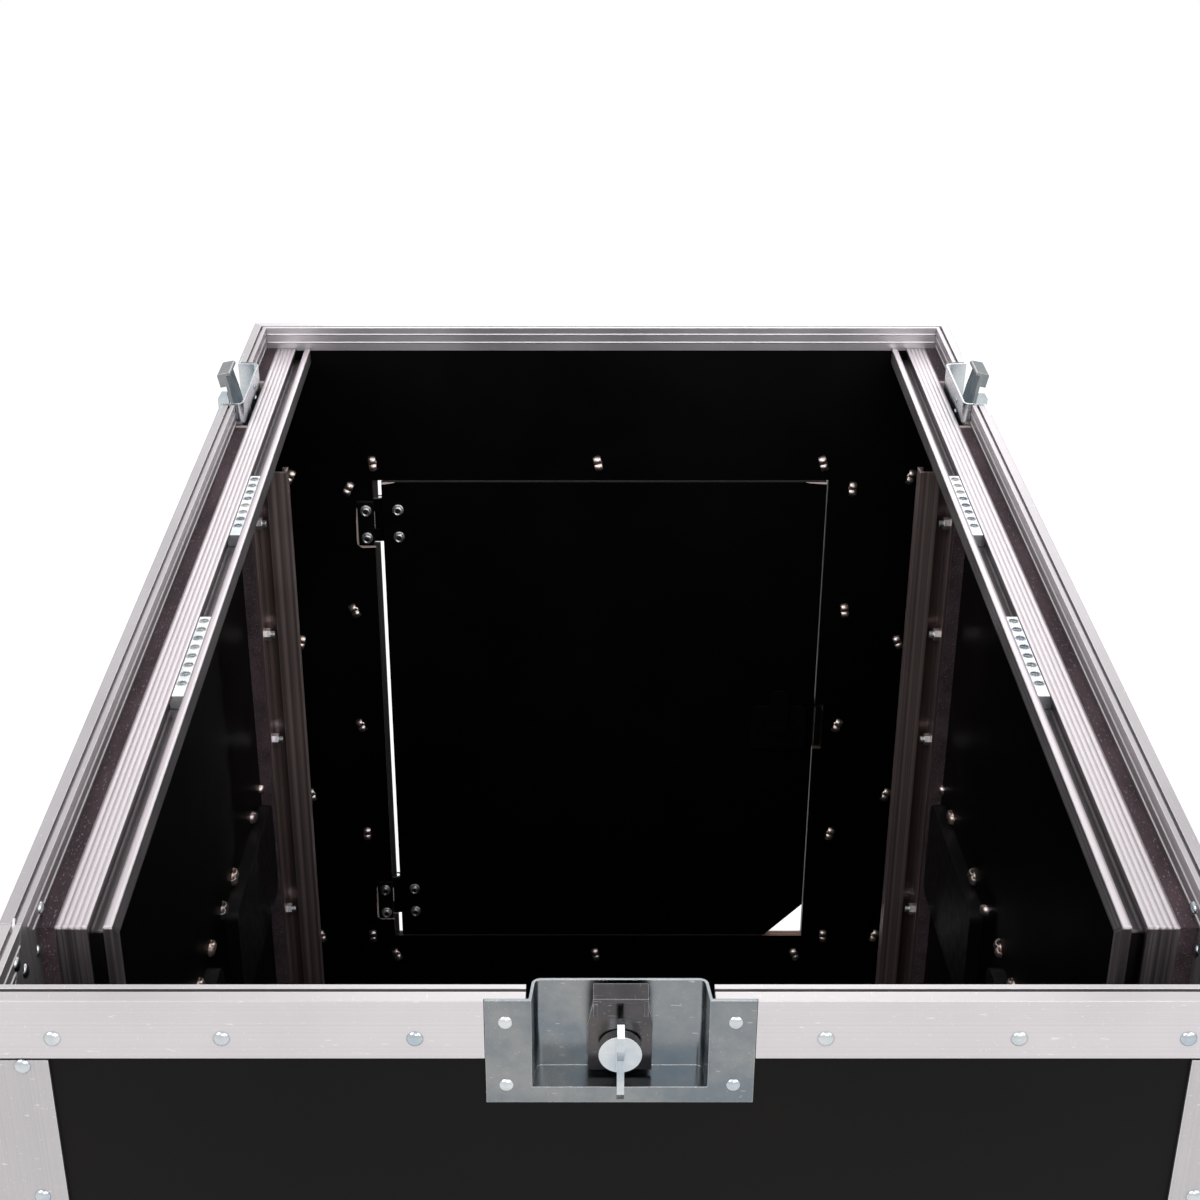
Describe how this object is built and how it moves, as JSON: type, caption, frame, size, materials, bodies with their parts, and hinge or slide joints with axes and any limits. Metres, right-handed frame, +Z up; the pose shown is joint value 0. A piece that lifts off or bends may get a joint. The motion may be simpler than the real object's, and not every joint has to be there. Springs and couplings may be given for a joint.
{
  "type": "angled rack case",
  "caption": "Plywood rack case open along its gently sloping top, with edge valances, latches, slotted rack rails with nut strips, clip-on front lid and rear door",
  "frame": {"origin": "middle of the footprint, on the ground", "axes": "+Z up, -Y towards the front lid, +Y towards the rear door, +X to the right seen from the front"},
  "size_m": [0.5552, 0.773, 0.6646],
  "materials": {
    "coated_plywood": "smooth black phenolic film on plywood",
    "raw_plywood": "bare plywood edge",
    "satin_aluminium": "satin extruded and anodised",
    "zinc_plated_steel": "bright zinc plated",
    "black_coated_steel": "black powder coating",
    "black_rubber": "matt moulded rubber"
  },
  "bodies": {
    "case": {"side_panel_left": "coated_plywood", "packer_left": "raw_plywood", "slanted_valance_left": "satin_aluminium", "slanted_rail_left": "satin_aluminium", "front_rail_left": "satin_aluminium", "rear_rail_left": "satin_aluminium", "side_panel_right": "coated_plywood", "packer_right": "raw_plywood", "slanted_valance_right": "satin_aluminium", "slanted_rail_right": "satin_aluminium", "front_rail_right": "satin_aluminium", "rear_rail_right": "satin_aluminium", "rear_packers": "raw_plywood", "rear_panel": "coated_plywood", "bottom_panel": "coated_plywood", "rear_valance": "satin_aluminium", "front_valance": "satin_aluminium", "edge_angles": "satin_aluminium", "corner_caps": "zinc_plated_steel", "feet": "black_rubber", "rear_rail_bolts": "zinc_plated_steel", "latch_dishes": "zinc_plated_steel", "handle_dishes": "black_coated_steel", "hinge_frame_leaves": "black_coated_steel", "hinge_pins": "zinc_plated_steel", "door_frame_profile": "satin_aluminium", "door_strike": "black_coated_steel"},
    "door": {"rear_door_panel": "coated_plywood", "hinge_door_leaves": "black_coated_steel", "door_latch_dish": "black_coated_steel"},
    "door_latch": {"door_latch_handle": "black_coated_steel", "door_latch_cam": "black_coated_steel"},
    "front_lid": {"front_lid_panel": "coated_plywood", "front_lid_walls": "coated_plywood", "lid_rear_valance": "satin_aluminium", "lid_top_valance": "satin_aluminium", "lid_edge_angles": "satin_aluminium", "lid_corner_caps": "zinc_plated_steel", "lid_keepers": "zinc_plated_steel", "centre_latch_dish": "zinc_plated_steel"},
    "side_latch_hook_left": {"side_latch_hook_left": "zinc_plated_steel"},
    "side_latch_wing_left": {"side_latch_wing_left": "zinc_plated_steel"},
    "side_latch_hook_right": {"side_latch_hook_right": "zinc_plated_steel"},
    "side_latch_wing_right": {"side_latch_wing_right": "zinc_plated_steel"},
    "lid_latch_hook_left": {"lid_latch_hook_left": "zinc_plated_steel"},
    "lid_latch_wing_left": {"lid_latch_wing_left": "zinc_plated_steel"},
    "lid_latch_hook_right": {"lid_latch_hook_right": "zinc_plated_steel"},
    "lid_latch_wing_right": {"lid_latch_wing_right": "zinc_plated_steel"},
    "centre_latch_hook": {"centre_latch_hook": "zinc_plated_steel"},
    "centre_latch_wing": {"centre_latch_wing": "zinc_plated_steel"},
    "rear_handle_bail_left": {"rear_handle_bail_left": "black_coated_steel"},
    "front_handle_bail_left": {"front_handle_bail_left": "black_coated_steel"},
    "rear_handle_bail_right": {"rear_handle_bail_right": "black_coated_steel"},
    "front_handle_bail_right": {"front_handle_bail_right": "black_coated_steel"},
    "lower_strip_left": {"lower_strip_left": "zinc_plated_steel"},
    "lower_strip_right": {"lower_strip_right": "zinc_plated_steel"},
    "upper_strip_left": {"upper_strip_left": "zinc_plated_steel"},
    "upper_strip_right": {"upper_strip_right": "zinc_plated_steel"},
    "front_strip_left": {"front_strip_left": "zinc_plated_steel"},
    "front_strip_right": {"front_strip_right": "zinc_plated_steel"}
  },
  "joints": [
    {"name": "door_hinge", "type": "hinge", "parent": "case", "child": "door", "pos_m": [-0.179, 0.382, 0.49867], "axis": [0, 0, 1], "range_deg": [0, 170]},
    {"name": "door_latch_turn", "type": "hinge", "parent": "door", "child": "door_latch", "pos_m": [0.152, 0.3775, 0.31269], "axis": [0, 1, 0], "range_deg": [0, 90]},
    {"name": "front_lid_slide", "type": "slide", "parent": "case", "child": "front_lid", "axis": [0, -1, 0], "range_m": [0, 0.09]},
    {"name": "side_latch_hook_left_slide", "type": "slide", "parent": "case", "child": "side_latch_hook_left", "axis": [-0.1908, -0.0958, 0.9769], "range_m": [-0.007, 0]},
    {"name": "side_latch_wing_left_turn", "type": "hinge", "parent": "case", "child": "side_latch_wing_left", "pos_m": [-0.2666, 0.26418, 0.62485], "axis": [-1, 0, 0], "range_deg": [-180.05, 0]},
    {"name": "side_latch_hook_right_slide", "type": "slide", "parent": "case", "child": "side_latch_hook_right", "axis": [0.1908, -0.0958, 0.9769], "range_m": [-0.007, 0]},
    {"name": "side_latch_wing_right_turn", "type": "hinge", "parent": "case", "child": "side_latch_wing_right", "pos_m": [0.2666, 0.26418, 0.62485], "axis": [1, 0, 0], "range_deg": [-180.05, 0]},
    {"name": "lid_latch_hook_left_slide", "type": "slide", "parent": "case", "child": "lid_latch_hook_left", "axis": [-0.1908, -0.9816, 0], "range_m": [-0.007, 0]},
    {"name": "lid_latch_wing_left_turn", "type": "hinge", "parent": "case", "child": "lid_latch_wing_left", "pos_m": [-0.2666, -0.303, 0.3], "axis": [-1, 0, 0], "range_deg": [-180.05, 0]},
    {"name": "lid_latch_hook_right_slide", "type": "slide", "parent": "case", "child": "lid_latch_hook_right", "axis": [0.1908, -0.9816, 0], "range_m": [-0.007, 0]},
    {"name": "lid_latch_wing_right_turn", "type": "hinge", "parent": "case", "child": "lid_latch_wing_right", "pos_m": [0.2666, -0.303, 0.3], "axis": [1, 0, 0], "range_deg": [-180.05, 0]},
    {"name": "centre_latch_hook_slide", "type": "slide", "parent": "front_lid", "child": "centre_latch_hook", "axis": [0, -0.1908, 0.9816], "range_m": [0, 0.007]},
    {"name": "centre_latch_wing_turn", "type": "hinge", "parent": "front_lid", "child": "centre_latch_wing", "pos_m": [0, -0.3755, 0.56225], "axis": [0, -1, 0], "range_deg": [0, 180.05]},
    {"name": "rear_handle_bail_left_swing", "type": "hinge", "parent": "case", "child": "rear_handle_bail_left", "pos_m": [-0.2589, 0.128, 0.3235], "axis": [0, 1, 0], "range_deg": [0, 90], "stiffness_Nm_per_rad": 0.4, "springref_deg": -20.05},
    {"name": "front_handle_bail_left_swing", "type": "hinge", "parent": "case", "child": "front_handle_bail_left", "pos_m": [-0.2589, -0.078, 0.3235], "axis": [0, 1, 0], "range_deg": [0, 90], "stiffness_Nm_per_rad": 0.4, "springref_deg": -20.05},
    {"name": "rear_handle_bail_right_swing", "type": "hinge", "parent": "case", "child": "rear_handle_bail_right", "pos_m": [0.2589, 0.128, 0.3235], "axis": [0, -1, 0], "range_deg": [0, 90], "stiffness_Nm_per_rad": 0.4, "springref_deg": -20.05},
    {"name": "front_handle_bail_right_swing", "type": "hinge", "parent": "case", "child": "front_handle_bail_right", "pos_m": [0.2589, -0.078, 0.3235], "axis": [0, -1, 0], "range_deg": [0, 90], "stiffness_Nm_per_rad": 0.4, "springref_deg": -20.05},
    {"name": "lower_strip_left_slide", "type": "slide", "parent": "case", "child": "lower_strip_left", "axis": [0, 0.9952, 0.0976], "range_m": [-0.18, 0.075]},
    {"name": "lower_strip_right_slide", "type": "slide", "parent": "case", "child": "lower_strip_right", "axis": [0, 0.9952, 0.0976], "range_m": [-0.18, 0.075]},
    {"name": "upper_strip_left_slide", "type": "slide", "parent": "case", "child": "upper_strip_left", "axis": [0, 0.9952, 0.0976], "range_m": [-0.075, 0.21]},
    {"name": "upper_strip_right_slide", "type": "slide", "parent": "case", "child": "upper_strip_right", "axis": [0, 0.9952, 0.0976], "range_m": [-0.075, 0.21]},
    {"name": "front_strip_left_slide", "type": "slide", "parent": "case", "child": "front_strip_left", "axis": [0, 0, 1], "range_m": [-0.3, 0.1]},
    {"name": "front_strip_right_slide", "type": "slide", "parent": "case", "child": "front_strip_right", "axis": [0, 0, 1], "range_m": [-0.3, 0.1]}
  ],
  "couplings": [
    {"joint": "side_latch_wing_left_turn", "follows": "side_latch_hook_left_slide", "rad_per_m": 448.8},
    {"joint": "side_latch_wing_right_turn", "follows": "side_latch_hook_right_slide", "rad_per_m": 448.8},
    {"joint": "lid_latch_wing_left_turn", "follows": "lid_latch_hook_left_slide", "rad_per_m": 448.8},
    {"joint": "lid_latch_wing_right_turn", "follows": "lid_latch_hook_right_slide", "rad_per_m": 448.8},
    {"joint": "centre_latch_wing_turn", "follows": "centre_latch_hook_slide", "rad_per_m": 448.8}
  ]
}
